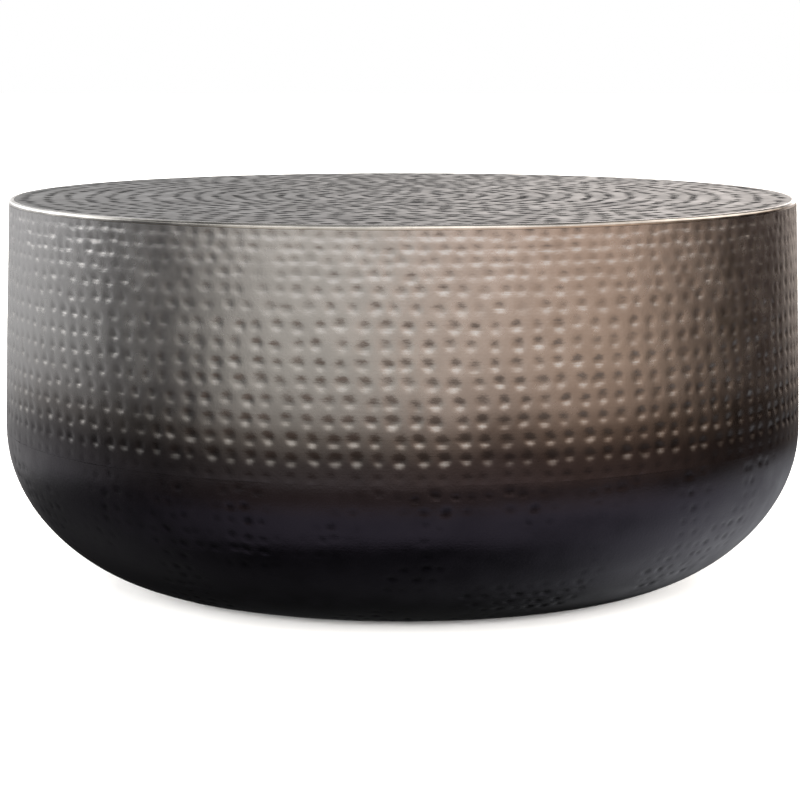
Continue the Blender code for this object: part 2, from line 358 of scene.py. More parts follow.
def combine(piece, tool, operation):
    """Join a tool to a piece, or cut it away, and clear the tool from the bench."""
    pick(piece)
    joint = piece.modifiers.new("Combine", "BOOLEAN")
    joint.object, joint.operation, joint.solver = tool, operation, "MANIFOLD"
    bpy.ops.object.modifier_apply(modifier=joint.name)
    pick(tool)
    bpy.ops.object.delete()
    pick(piece)
    bpy.ops.object.shade_smooth_by_angle(angle=SMOOTH_ANGLE)


def drill(piece, nodes, diameter, low, high):
    """Drill an upright hole from low to high where each of these frame nodes stands."""
    deselect()
    for index, node in enumerate(nodes):
        middle = sum(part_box(node), Vector()) / 2
        bpy.ops.mesh.primitive_cylinder_add(
            vertices=HOLE_STEPS,
            radius=diameter / 2,
            depth=high - low,
            location=(middle.x, middle.y, (low + high) / 2),
        )
        if index == 0:
            bits = name_piece("drill_bits")
            bpy.ops.object.mode_set(mode="EDIT")
    bpy.ops.object.mode_set(mode="OBJECT")
    combine(piece, bits, "DIFFERENCE")


def threaded(name, section, core, major, pitch, start, end):
    """Turn a screw's head and core, and wind its thread round the core."""
    piece = turned(name, section, SCREW_STEPS)
    root, half, crest = core - 0.1 * MM, 0.45 * pitch, 0.08 * pitch
    ridge = ((root, start - half), (major, start - crest), (major, start + crest), (root, start + half))
    thread = turned(f"{name}_thread", ridge, THREAD_STEPS, pitch, int((end - start) / pitch))
    combine(piece, thread, "UNION")
    return piece


def cross_recess(piece, bottom, width, depth):
    """Cut a tapered cross for the driver up into a screw's head."""
    narrow, taper = width / 5, 0.6
    for wing in ((width, narrow), (narrow, width)):
        deselect()
        bpy.ops.mesh.primitive_cube_add(size=1.0, location=(0.0, 0.0, bottom))
        cutter = name_piece("recess_wing")
        bpy.ops.object.mode_set(mode="EDIT")
        bpy.ops.mesh.select_all(action="SELECT")
        bpy.ops.transform.resize(value=(*wing, 2 * depth))
        select_verts(cutter, [v.index for v in cutter.data.vertices if v.co.z > 0])
        bpy.ops.transform.resize(value=(taper, taper, 1.0))
        bpy.ops.object.mode_set(mode="OBJECT")
        combine(piece, cutter, "DIFFERENCE")


def set_out(piece, finish, slot, nodes, level):
    """Copy a small part to where each of these frame nodes stands, each turned its own way."""
    own_turn, axis = 2.4, (0.0, 0.0, 0.0)
    for index, node in enumerate(nodes):
        middle = sum(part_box(node), Vector()) / 2
        pick(piece)
        bpy.ops.object.duplicate(linked=False)
        copy = name_piece(f"{piece.name.split('.')[0]}_{index + 1}")
        bpy.ops.transform.rotate(value=own_turn * index, orient_axis="Z", center_override=axis)
        bpy.ops.transform.translate(value=(middle.x, middle.y, level))
        bpy.ops.object.transform_apply(location=True, rotation=True, scale=True)
        fit(copy, finish, slot, node)
    pick(piece)
    bpy.ops.object.delete()


def arc(centre, radius, start, end, spans):
    """Points of an arc in a section, with angles in degrees from +X."""
    turns = [math.radians(start + (end - start) * k / spans) for k in range(spans + 1)]
    return [(centre[0] + radius * math.cos(a), centre[1] + radius * math.sin(a)) for a in turns]


def coordinates(piece):
    places = np.empty(len(piece.data.vertices) * 3, np.float32)
    piece.data.vertices.foreach_get("co", places)
    return places.reshape(-1, 3).astype(float)


def move_to(piece, places):
    piece.data.vertices.foreach_set("co", places.astype(np.float32).ravel())
    piece.data.update()


def unevenness(place):
    """How far the slow waves in a sheet lift it at this place."""
    return sum(rise * noise.noise(place / (span * MM)) for span, rise in WAVES) * MM


def keep(piece, name, values):
    """Store one number for each vertex, which the piece's material reads."""
    kept = piece.data.attributes.new(name, "FLOAT", "POINT")
    kept.data.foreach_set("value", values.astype(np.float32))


def patina_rise(places):
    """How far up the patina, which was brushed on by hand, was carried round the drum."""
    turn = np.degrees(np.arctan2(places[:, 0], -places[:, 1]))
    rise = np.full(len(places), -PATINA_DROP)
    for azimuth, width, height in PATINA_RISES:
        aside = (turn - azimuth + 180) % 360 - 180
        rise += height * np.exp(-((aside / width) ** 2))
    return rise


def from_deepest(point, lean):
    """Way from a round hollow's deepest point, at lean from its middle, out to its edge at 1."""
    offset = point - lean
    room = 1 - lean.length_squared
    along = offset.dot(lean)
    return (along + math.sqrt(along**2 + room * offset.length_squared)) / room


def hammer(piece, skin, blows):
    """Sink an oval hollow with a ragged edge for each blow, and keep its depth for the patina."""
    places = coordinates(piece)
    outward = np.empty(len(places) * 3, np.float32)
    piece.data.vertices.foreach_get("normal", outward)
    tree = kdtree.KDTree(len(places))
    for index in np.flatnonzero(skin):
        tree.insert(places[index], int(index))
    tree.balance()
    ragged = [1 + RAGGED * noise.noise(Vector(place) / RAGGED_SPAN) for place in places]
    depth = np.zeros(len(places))
    for blow in blows:
        for place, index, _ in tree.find_range(blow.centre, max(blow.length, blow.width)):
            offset = place - blow.centre
            forth = offset.dot(blow.along)
            across = math.sqrt(max(offset.length_squared - forth**2, 0.0))
            point = Vector((forth / blow.length, math.copysign(across, offset.z) / blow.width))
            share = from_deepest(point, blow.lean) ** HOLLOW_POWER * ragged[index]
            if share < 1:
                depth[index] = max(depth[index], blow.sink * (1 - share))
    wave = np.array([unevenness(Vector(place)) if on else 0.0 for place, on in zip(places, skin)])
    move_to(piece, places + outward.reshape(-1, 3) * (wave - depth)[:, None])
    keep(piece, "hammer_depth", depth / MM)
    keep(piece, "patina_rise", patina_rise(places))


def smooth(share):
    """Hold a share between 0 and 1, and ease it in and out."""
    share = min(max(share, 0.0), 1.0)
    return share * share * (3 - 2 * share)


def grown(row, first, count):
    """Share of a change that starts at one row of the wall and takes a number of rows."""
    return smooth((row - first) / count)


def between(start, end, share):
    return start + (end - start) * share


def wall_radius(sizes, z):
    """Outside of the wall, which flares towards the belly and meets it upright."""
    share = (z - sizes.belly_height) / (sizes.height - sizes.belly_height)
    return between(sizes.belly_radius, sizes.rim_radius, max(share, 0.0) ** FLARE_POWER)


def wall_rows(sizes, blows):
    """Middle height of each row of blows, with its spread from close (0) to wide (1)."""
    rows = []
    z = sizes.height - blows.first_row
    for row in range(blows.wall_rows):
        spread = grown(row, *SPREAD_ROWS)
        rows.append((z, spread))
        z -= between(blows.upper_pitch, blows.lower_pitch, spread)
    return rows


def wall_blows(sizes, blows, draw):
    """Rows of oval blows down the wall: close, small and loose under the rim, bold on the belly."""
    row_stray, level_stray, turn_stray, lean_stray = 0.12, 0.6, 0.06, 0.08
    size_range, sink_range, stretch_range = (0.86, 1.10), (0.72, 1.08), (0.88, 1.12)
    light_blows, light_sink = 0.08, 0.5
    deepest = (0.22, -0.25)
    made = []
    drift = 0.0
    rows = wall_rows(sizes, blows)
    for row, (z, spread) in enumerate(rows):
        bold = grown(row, *BOLD_ROWS)
        strength = between(*BLOW_STRENGTH, bold) + DEEP_STRENGTH * grown(row, *DEEP_ROWS)
        scale = between(*BLOW_SCALE, bold)
        if row == len(rows) - 1:
            strength, scale = LAST_ROW_STRENGTH, LAST_ROW_SCALE
        loose = between(*BLOW_LOOSE, bold) * MM
        radius = wall_radius(sizes, z)
        count = round(FULL_TURN * radius / between(blows.upper_step, blows.lower_step, spread))
        drift += draw.normal(0.0, row_stray)
        for k in range(count):
            along = (k + drift) * FULL_TURN / count + draw.normal(0.0, loose) / radius
            level = z + draw.normal(0.0, level_stray * loose)
            size = blows.wall_blow * scale * draw.uniform(*size_range)
            sink = blows.wall_sink * strength * draw.uniform(*sink_range)
            if draw.random() < light_blows * (1 - bold):
                sink *= light_sink
            out = Vector((math.cos(along), math.sin(along), 0.0))
            forth = Vector((-out.y, out.x, draw.normal(0.0, turn_stray))).normalized()
            place = out * radius + Vector((0.0, 0.0, level))
            stretch = blows.wall_stretch * between(*BLOW_STRETCH, bold) * draw.uniform(*stretch_range)
            lean = Vector([draw.normal(middle, lean_stray) for middle in deepest])
            made.append(Blow(place, forth, size * stretch, size, sink, lean))
    return made


def bowl_point(sizes, turn):
    """Point of the bowl's outside, from the belly at 0 to the foot at a quarter turn."""
    reach = (sizes.belly_radius - sizes.foot_radius) * abs(math.cos(turn)) ** sizes.bowl_power
    drop = (sizes.belly_height - BOWL_LOW.z) * math.sin(turn)
    return sizes.foot_radius + reach, sizes.belly_height - drop


def bowl_blows(sizes, blows, draw):
    """Shallow loose blows in patches round the bowl, each row half a step on from the last."""
    slide, rise, turn_stray = 3 * MM, 2 * MM, 0.4
    size_range, sink_range, stretch = (0.75, 1.2), (0.5, 1.15), 1.35
    patch_span, patch_start = 80 * MM, Vector((4.0, 0.0, 2.0))
    patch_cover, patch_contrast, faintest = 0.40, 1.8, 0.02
    lean = Vector((0.0, -0.2))
    first_row = 0.6
    made = []
    reach = (sizes.belly_radius - sizes.foot_radius + sizes.belly_height - BOWL_LOW.z) / 2 * QUARTER
    rows = int(reach / blows.bowl_pitch)
    for row in range(rows):
        radius, z = bowl_point(sizes, QUARTER * (row + first_row) / rows)
        count = round(FULL_TURN * radius / blows.bowl_step)
        for k in range(count):
            along = (k + row % 2 / 2) * FULL_TURN / count + draw.normal(0.0, slide) / radius
            out = Vector((math.cos(along), math.sin(along), 0.0))
            forth = Vector((-out.y, out.x, draw.normal(0.0, turn_stray))).normalized()
            place = out * radius + Vector((0.0, 0.0, z + draw.normal(0.0, rise)))
            size = blows.bowl_blow * draw.uniform(*size_range)
            spot = place / patch_span + patch_start
            patch = smooth(patch_cover + patch_contrast * noise.noise(spot))
            sink = blows.bowl_sink * draw.uniform(*sink_range) * patch
            if patch > faintest:
                made.append(Blow(place, forth, size * stretch, size, sink, lean))
    return made


def top_blows(sizes, blows, draw):
    """Rings of blows on the top; rings of one band share a count, so their blows nearly line up."""
    ring_stray, slide, aside = 0.35, 3.5 * MM, 1.8 * MM
    size_range, sink_range = (0.9, 1.1), (0.7, 1.15)
    long, wide = 1.3, 0.8
    made = []
    drift = 0.0
    radius = PANEL_HIGH.x - blows.top_margin
    while radius > blows.ring_pitch / 2:
        share = radius / sizes.rim_radius
        inner_count = max(FEWEST_BLOWS, round(FULL_TURN * radius / TOP_STEP))
        count = next((number for low, number in TOP_BANDS if share > low), inner_count)
        drift += draw.normal(0.0, ring_stray)
        for k in range(count):
            along = (k + drift) * FULL_TURN / count + draw.normal(0.0, slide) / radius
            away = radius + draw.normal(0.0, aside)
            out = Vector((math.cos(along), math.sin(along), 0.0))
            place = out * away + Vector((0.0, 0.0, sizes.height))
            size = blows.top_blow * draw.uniform(*size_range)
            sink = blows.top_sink * draw.uniform(*sink_range)
            forth = Vector((-out.y, out.x, 0.0))
            made.append(Blow(place, forth, size * long, size * wide, sink, Vector((0.0, 0.0))))
        radius -= blows.ring_pitch
    return made


def fit(piece, material, slot, *nodes):
    """Give a finished piece its material and let it stand for its frame nodes."""
    piece.data.materials.clear()
    piece.data.materials.append(material)
    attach(piece, "root")
    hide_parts(*nodes)


def connect(tree, node, sockets):
    """Fill a node's sockets, in order or by name: nodes and sockets are linked in, values are set."""
    listed = sockets.items() if isinstance(sockets, dict) else enumerate(sockets)
    for key, value in listed:
        source = value.outputs[0] if isinstance(value, bpy.types.Node) else value
        if isinstance(source, bpy.types.NodeSocket):
            tree.links.new(source, node.inputs[key])
        else:
            node.inputs[key].default_value = source


def add(tree, kind, sockets=(), stops=(), **settings):
    """Add one shader node with its settings, its sockets and, on a colour ramp, its stops."""
    made = tree.nodes.new(f"ShaderNode{kind}")
    for key, value in settings.items():
        setattr(made, key, value)
    connect(tree, made, sockets)
    for place, shade in stops:
        stop = made.color_ramp.elements.new(place)
        stop.color = (*shade, 1.0)
    if stops:
        for default_stop in (0, -1):
            made.color_ramp.elements.remove(made.color_ramp.elements[default_stop])
    return made


def new_material(name):
    """Material with only its Principled shader, and the piece's Object coordinates."""
    material = bpy.data.materials.new(name)
    material.use_nodes = True
    tree = material.node_tree
    shader = tree.nodes["Principled BSDF"]
    place = add(tree, "TexCoord").outputs["Object"]
    return material, tree, shader, place


def patinated_sheet(name, colours, height, pooled):
    """Hammered aluminium sheet, brushed and darkened with patina from the foot up.

    Bright pewter under the rim, bronze lower down, black on the bowl, and darker in the hollows, down
    to pooled times the colour.
    """
    material, tree, shader, place = new_material(name)
    level = add(tree, "SeparateXYZ", (place,)).outputs["Z"]
    drift = add(tree, "TexNoise", {"Vector": place, "Scale": 1 / (160 * MM), "Detail": 3.0})
    wander = add(tree, "MapRange", (drift, *NOISE_SPAN, -6 * MM, 6 * MM))
    edge = add(tree, "Attribute", attribute_name="patina_rise").outputs["Fac"]
    worn = add(tree, "Math", (level, wander), operation="ADD")
    worn = add(tree, "Math", (worn, edge), operation="SUBTRACT")
    share = add(tree, "MapRange", (worn, 0.0, height))
    # The first ramp is the patina by height; the second is the colour of the painted highlight on the
    # up-facing lips.
    ombre, lip_highlight = (
        add(tree, "ValToRGB", (share,), [(z / height, getattr(colours, tone)) for z, tone in bands])
        for bands in (OMBRE, LIP_HIGHLIGHT_BANDS)
    )
    # Cloudy stains, and patina that pooled in the hollows.
    blotch = add(tree, "TexNoise", {"Vector": place, "Scale": 1 / (30 * MM), "Detail": 5.0})
    stain = add(tree, "MapRange", (blotch, *NOISE_SPAN, 0.88, 1.10))
    dent = add(tree, "Attribute", attribute_name="hammer_depth").outputs["Fac"]
    hollow = add(tree, "MapRange", (dent, 0.0, 0.9, 1.0, pooled))
    shade = add(tree, "Math", (stain, hollow), operation="MULTIPLY")
    tint = add(tree, "VectorMath", {0: ombre, "Scale": shade}, operation="SCALE")
    # Painted highlight: the lower lip of each blow, which faces up, is lightened towards the lip colour.
    # Sockets 6 and 7 take colours.
    facing = add(tree, "TexCoord").outputs["Normal"]
    lean = add(tree, "SeparateXYZ", (facing,)).outputs["Z"]
    upfacing_highlight = add(tree, "MapRange", (lean, 0.04, 0.20, 0.0, 0.55), interpolation_type="SMOOTHSTEP")
    highlighted_tint = add(tree, "Mix", {0: upfacing_highlight, 6: tint, 7: lip_highlight}, data_type="RGBA")
    # The blackened foot is duller than the metal above it.
    shine = add(tree, "MapRange", (blotch, *NOISE_SPAN, 0.22, 0.29))
    matt = add(tree, "MapRange", (worn, 0.190, 0.250, 0.06, 0.0))
    dull = add(tree, "Math", (shine, matt), operation="ADD")
    # Turning lines are about 0.1 mm apart; 1.6 mm is the finest that shows at this size.
    lines = add(tree, "Mapping", {"Vector": place, "Scale": (12.0, 12.0, 1 / (1.6 * MM))})
    brushed = add(tree, "TexNoise", {"Vector": lines, "Scale": 1.0, "Detail": 2.0})
    grit = add(tree, "TexNoise", {"Vector": place, "Scale": 1 / (3 * MM), "Detail": 3.0})
    relief = add(tree, "Math", (brushed, 0.35, grit), operation="MULTIPLY_ADD")
    bump = add(tree, "Bump", {"Strength": 0.28, "Distance": 0.4 * MM, "Height": relief})
    # The sheet was linished up and down: it blurs reflections sideways and keeps them crisp in height.
    around = add(tree, "Tangent", direction_type="RADIAL", axis="Z")
    connect(tree, shader, {"Tangent": around, "Anisotropic": 0.85, "Metallic": 1.0})
    connect(tree, shader, {"Base Color": highlighted_tint.outputs[2], "Roughness": dull, "Normal": bump})
    return material


def hammered_pewter(colours):
    """Hammered and waxed pewter coloured sheet: mid grey, with soft broken reflections."""
    material, tree, shader, place = new_material("hammered pewter top sheet")
    blotch = add(tree, "TexNoise", {"Vector": place, "Scale": 1 / (45 * MM), "Detail": 5.0})
    stain = add(tree, "MapRange", (blotch, *NOISE_SPAN, 0.9, 1.1))
    dent = add(tree, "Attribute", attribute_name="hammer_depth").outputs["Fac"]
    hollow = add(tree, "MapRange", (dent, 0.0, 1.2, 1.0, 0.42))
    shade = add(tree, "Math", (stain, hollow), operation="MULTIPLY")
    tint = add(tree, "VectorMath", {0: colours.top, "Scale": shade}, operation="SCALE")
    shine = add(tree, "MapRange", (blotch, *NOISE_SPAN, 0.28, 0.38))
    grit = add(tree, "TexNoise", {"Vector": place, "Scale": 1 / (4 * MM), "Detail": 3.0})
    bump = add(tree, "Bump", {"Strength": 0.12, "Distance": 0.4 * MM, "Height": grit})
    connect(tree, shader, {"Base Color": tint, "Roughness": shine, "Normal": bump, "Metallic": 1.0})
    return material


def worked_finish(name, shade, metallic, roughness, grain):
    """Plain worked surface with blotches and relief of one grain size: a small part's finish."""
    material, tree, shader, place = new_material(name)
    mottle = add(tree, "TexNoise", {"Vector": place, "Scale": 1 / grain, "Detail": 5.0})
    tones = [tuple(min(1.0, tone * c) for c in shade) for tone in MOTTLE]
    tint = add(tree, "ValToRGB", (mottle,), list(zip(NOISE_SPAN, tones)))
    shine = add(tree, "MapRange", (mottle, *NOISE_SPAN, *roughness))
    bump = add(tree, "Bump", {"Strength": 0.2, "Distance": grain / 20, "Height": mottle})
    connect(tree, shader, {"Base Color": tint, "Roughness": shine, "Normal": bump, "Metallic": metallic})
    return material


class DRUMTABLE_OT_hammered_wall(bpy.types.Operator):
    """Turn the drum wall and hammer its rows"""

    bl_idname = "drumtable.hammered_wall"
    bl_label = "Hammered wall"

    def execute(self, context):
        sizes, blows = context.scene.drum_sizes, context.scene.drum_hammer
        outside = self.pressed_outside(sizes, blows)
        inside = [(radius - sizes.sheet, z) for radius, z in (outside[-1], outside[0])]
        piece = turned("hammered_wall", outside + inside, WALL_STEPS)
        places = coordinates(piece)
        limit = [wall_radius(sizes, z) - sizes.sheet / 2 for z in places[:, 2]]
        skin = np.hypot(places[:, 0], places[:, 1]) > limit
        hammer(piece, skin, wall_blows(sizes, blows, np.random.default_rng(SEED)))
        colours = context.scene.drum_colours
        finish = patinated_sheet("hammered bronze wall sheet", colours, sizes.height, pooled=0.82)
        fit(piece, finish, "wall_sheet", "side_wall")
        return {"FINISHED"}

    def pressed_outside(self, sizes, blows):
        """Section of the outside from the rim down, cut where blows land and pressed in by the rows."""
        rows = wall_rows(sizes, blows)
        levels = [WALL_HIGH.z, BELLY_HEIGHT]
        for z, spread in rows:
            half = blows.wall_blow * between(*BLOW_SCALE, spread)
            levels += [z + half * share for share in ROW_LEVELS]
        levels = sorted((z for z in levels if BELLY_HEIGHT <= z <= WALL_HIGH.z), reverse=True)
        spaced = levels[:1]
        for z in levels[1:-1]:
            if min(spaced[-1] - z, z - levels[-1]) > MM:
                spaced.append(z)
        outside = []
        for z in spaced + levels[-1:]:
            shares = [(1 - spread) * math.exp(-(((z - row) / PRESS_HALF) ** 2)) for row, spread in rows]
            outside.append((wall_radius(sizes, z) - blows.row_press * sum(shares), z))
        return outside


class DRUMTABLE_OT_blackened_bowl(bpy.types.Operator):
    """Turn the bowl with its lap, foot flange and turned up mouth, and hammer it lightly"""

    bl_idname = "drumtable.blackened_bowl"
    bl_label = "Blackened bowl"

    def execute(self, context):
        sizes, blows = context.scene.drum_sizes, context.scene.drum_hammer
        sheet = sizes.sheet
        neck = sizes.belly_radius - sheet - sizes.seat_gap
        lap_top = sizes.belly_height + sizes.lap_height
        outside = [bowl_point(sizes, QUARTER * k / BOWL_SPANS) for k in range(BOWL_SPANS + 1)]
        corner = (sizes.mouth_radius + sizes.mouth_round, BOWL_LOW.z + sizes.mouth_round)
        mouth = arc(corner, sizes.mouth_round, 270, 180, 5)
        lip_top = BOWL_LOW.z + sizes.lip_height
        lip = [(sizes.mouth_radius, lip_top), (sizes.mouth_radius + sheet, lip_top)]
        inner_mouth = arc(corner, sizes.mouth_round - sheet, 180, 270, 3)
        section = [(neck, lap_top), (neck, sizes.belly_height)] + outside + mouth + lip
        section += inner_mouth + self.lining(sizes, neck - sheet) + [(neck - sheet, lap_top)]
        piece = turned("blackened_bowl", section, BOWL_STEPS)
        fixings = context.scene.drum_fixings
        hole = fixings.glide_screw + 2 * fixings.hole_clearance
        drill(piece, GLIDES, hole, BOWL_LOW.z - MM, BOWL_LOW.z + sheet + MM)
        skin = self.outer_skin(sizes, coordinates(piece))
        hammer(piece, skin, bowl_blows(sizes, blows, np.random.default_rng(SEED + 1)))
        colours = context.scene.drum_colours
        finish = patinated_sheet("blackened bowl sheet", colours, sizes.height, pooled=0.5)
        fit(piece, finish, "bowl_sheet", "base_bowl")
        return {"FINISHED"}

    def lining(self, sizes, neck):
        """Inside of the bowl from the foot up, one sheet in from the outside."""
        sheet, nudge = sizes.sheet, 0.01
        inside = []
        for k in range(LINING_SPANS, -1, -1):
            turn = QUARTER * k / LINING_SPANS
            point, ahead, behind = (Vector(bowl_point(sizes, turn + d)) for d in (0, nudge, -nudge))
            run = (ahead - behind).normalized()
            inside.append((point.x + sheet * run.y, point.y - sheet * run.x))
        inside[0] = (sizes.foot_radius, BOWL_LOW.z + sheet)
        inside[-1] = (neck, sizes.belly_height)
        return inside

    def outer_skin(self, sizes, places):
        """Vertices on the curved outside, where the powered ellipse gives 1, without flange and neck."""
        on_curve, flange, neck = 0.997, -0.05, -0.001
        radius = np.hypot(places[:, 0], places[:, 1])
        reach = (radius - sizes.foot_radius) / (sizes.belly_radius - sizes.foot_radius)
        drop = (sizes.belly_height - places[:, 2]) / (sizes.belly_height - BOWL_LOW.z)
        round_out = np.hypot(np.maximum(reach, 0.0) ** (1 / sizes.bowl_power), drop)
        return (round_out > on_curve) & (reach > flange) & (drop > neck)


class DRUMTABLE_OT_hammered_top(bpy.types.Operator):
    """Cut the round top from a grid and hammer its rings"""

    bl_idname = "drumtable.hammered_top"
    bl_label = "Hammered top"

    def execute(self, context):
        sizes, blows = context.scene.drum_sizes, context.scene.drum_hammer
        deselect()
        bpy.ops.mesh.primitive_grid_add(
            x_subdivisions=TOP_CELLS, y_subdivisions=TOP_CELLS, size=2.0, location=(0.0, 0.0, 0.0)
        )
        piece = name_piece("hammered_top")
        places = self.rounded(coordinates(piece)) * PANEL_HIGH.x
        places[:, 2] = sizes.height
        move_to(piece, places)
        bpy.ops.object.mode_set(mode="EDIT")
        bpy.ops.mesh.select_all(action="SELECT")
        bpy.ops.mesh.region_to_loop()
        bpy.ops.mesh.extrude_region_move(TRANSFORM_OT_translate={"value": (0.0, 0.0, -sizes.sheet)})
        bpy.ops.mesh.edge_face_add()
        close_mesh()
        places = coordinates(piece)
        skin = places[:, 2] > sizes.height - sizes.sheet / 2
        skin &= np.hypot(places[:, 0], places[:, 1]) < PANEL_HIGH.x - MM
        hammer(piece, skin, top_blows(sizes, blows, np.random.default_rng(SEED + 2)))
        fit(piece, hammered_pewter(context.scene.drum_colours), "top_sheet", "top_panel")
        return {"FINISHED"}

    def rounded(self, places):
        """Turn a square grid of half width 1 into a disc of radius 1, each square ring into a circle."""
        x, y = places[:, 0], places[:, 1]
        across = np.abs(x) >= np.abs(y)
        ring = np.maximum(np.abs(x), np.abs(y))
        tiny = 1e-9
        along = np.where(across, y, x) / np.maximum(ring, tiny) * math.pi / 4
        near, far = ring * np.cos(along), ring * np.sin(along)
        new_x = np.where(across, np.sign(x) * near, far)
        new_y = np.where(across, far, np.sign(y) * near)
        return np.stack((new_x, new_y, places[:, 2]), axis=1)


class DRUMTABLE_OT_burnished_rim(bpy.types.Operator):
    """Turn the rebated edge bar with its rounded outside"""

    bl_idname = "drumtable.burnished_rim"
    bl_label = "Burnished rim"

    def execute(self, context):
        sizes = context.scene.drum_sizes
        outer, top, ease = sizes.rim_radius, sizes.height, 0.4 * MM
        inner, ledge_radius = outer - sizes.rim_width, outer - 2 * sizes.rim_width
        ledge = PANEL_LOW.z - sizes.seat_gap
        section = arc((inner + ease, top - ease), ease, 180, 90, 3)
        section += arc((outer - sizes.rim_round, top - sizes.rim_round), sizes.rim_round, 90, 0, 12)
        section += [(outer, RIM_LOW.z), (ledge_radius, RIM_LOW.z), (ledge_radius, ledge), (inner, ledge)]
        piece = turned("burnished_rim", section, RIM_STEPS)
        # Burnished aluminium: a bright silver line that turns white where it catches the light.
        shade = context.scene.drum_colours.rim
        finish = worked_finish("burnished aluminium edge", shade, 1.0, (0.16, 0.26), 25 * MM)
        fit(piece, finish, "rim_metal", "rim_bar")
        return {"FINISHED"}


class DRUMTABLE_OT_fibreboard_disc(bpy.types.Operator):
    """Turn the board under the top, with eased edges and pilot holes"""

    bl_idname = "drumtable.fibreboard_disc"
    bl_label = "Fibreboard disc"

    def execute(self, context):
        fixings = context.scene.drum_fixings
        ease, edge = fixings.board_easing, BOARD_HIGH.x
        section = [(0.0, BOARD_LOW.z)]
        section += arc((edge - ease, BOARD_LOW.z + ease), ease, 270, 360, 4)
        section += arc((edge - ease, BOARD_HIGH.z - ease), ease, 0, 90, 4)
        section += [(0.0, BOARD_HIGH.z)]
        piece = turned("fibreboard_disc", section, BOARD_STEPS)
        hole = fixings.board_screw + 2 * fixings.hole_clearance
        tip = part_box(BOARD_SCREWS[0])[1].z + fixings.hole_clearance
        drill(piece, BOARD_SCREWS, hole, BOARD_LOW.z - MM, tip)
        # Raw medium density fibreboard: pale brown, dead matt, flecked with darker fibres.
        shade = context.scene.drum_colours.fibre
        finish = worked_finish("raw fibreboard", shade, 0.0, (0.8, 0.95), 3 * MM)
        fit(piece, finish, "board", "top_board")
        return {"FINISHED"}


class DRUMTABLE_OT_inner_steel(bpy.types.Operator):
    """Roll the angle hoop under the board and the flat ring on the foot, and drill both"""

    bl_idname = "drumtable.inner_steel"
    bl_label = "Inner steel"

    def execute(self, context):
        sizes, fixings = context.scene.drum_sizes, context.scene.drum_fixings
        # Mill rolled steel: dark grey, half dull, with the cloudy scale of hot rolling.
        shade = context.scene.drum_colours.mill
        finish = worked_finish("mill rolled steel", shade, 1.0, (0.4, 0.6), 8 * MM)
        hoop = turned("angle_hoop", self.angle_section(sizes, fixings), HOOP_STEPS)
        hole = fixings.board_screw + 2 * fixings.hole_clearance
        drill(hoop, BOARD_SCREWS, hole, HOOP_HIGH.z - 2 * fixings.hoop_steel, HOOP_HIGH.z + MM)
        fit(hoop, finish, "frame_steel", "top_hoop")
        ease, outer = fixings.ring_round, RING_HIGH.x
        inner = outer - fixings.ring_width
        section = arc((outer - ease, RING_HIGH.z - ease), ease, 90, 0, 3)
        section += arc((outer - ease, RING_LOW.z + ease), ease, 0, -90, 3)
        section += arc((inner + ease, RING_LOW.z + ease), ease, 270, 180, 3)
        section += arc((inner + ease, RING_HIGH.z - ease), ease, 180, 90, 3)
        ring = turned("flat_ring", section, RING_STEPS)
        hole = fixings.glide_screw + 2 * fixings.hole_clearance
        drill(ring, GLIDES, hole, RING_LOW.z - MM, RING_HIGH.z + MM)
        fit(ring, finish, "frame_steel", "base_ring")
        return {"FINISHED"}

    def angle_section(self, sizes, fixings):
        """Section of the rolled angle, which follows the flare of the wall it is welded to."""
        steel, toe, fillet = fixings.hoop_steel, fixings.toe_round, fixings.hoop_fillet
        top, foot = HOOP_HIGH.z, HOOP_LOW.z
        under = top - steel
        outer_foot = HOOP_HIGH.x
        outer_top = outer_foot - wall_radius(sizes, foot) + wall_radius(sizes, top)
        inner = outer_top - fixings.hoop_leg
        section = arc((inner + toe, top - toe), toe, 180, 90, 3)
        section += arc((outer_top - toe, top - toe), toe, 90, 0, 3)
        section += arc((outer_foot - toe, foot + toe), toe, 0, -90, 3)
        section += arc((outer_foot - steel + toe, foot + toe), toe, 270, 180, 3)
        section += arc((outer_top - steel - fillet, under - fillet), fillet, 0, 90, 4)
        section += arc((inner + toe, under + toe), toe, 270, 180, 3)
        return section


class DRUMTABLE_OT_board_screws(bpy.types.Operator):
    """Turn a pan head screw with a coarse thread and set it out round the hoop"""

    bl_idname = "drumtable.board_screws"
    bl_label = "Board screws"

    def execute(self, context):
        fixings = context.scene.drum_fixings
        low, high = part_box(BOARD_SCREWS[0])
        seat = HOOP_HIGH.z - fixings.hoop_steel - SEAT_GAP
        tip, under = high.z - seat, low.z - seat
        major, head = fixings.board_screw / 2, fixings.board_screw_head / 2
        core, point, pitch = 0.7 * major, 2 * major, fixings.board_screw_pitch
        section = [(0.0, under), (0.55 * head, 0.98 * under), (0.82 * head, 0.84 * under)]
        section += [(0.96 * head, 0.64 * under), (head, 0.45 * under), (0.99 * head, 0.0)]
        section += [(core, 0.0), (core, tip - point), (0.0, tip)]
        piece = threaded("pan_screw", section, core, major, pitch, pitch, tip - 1.1 * point)
        cross_recess(piece, under, 0.9 * head, -0.5 * under)
        # Zinc plated steel: bright blue white metal with a fine cloudy bloom.
        shade = context.scene.drum_colours.zinc
        finish = worked_finish("zinc plated steel", shade, 1.0, (0.28, 0.42), 2 * MM)
        set_out(piece, finish, "screw_zinc", BOARD_SCREWS, seat)
        return {"FINISHED"}


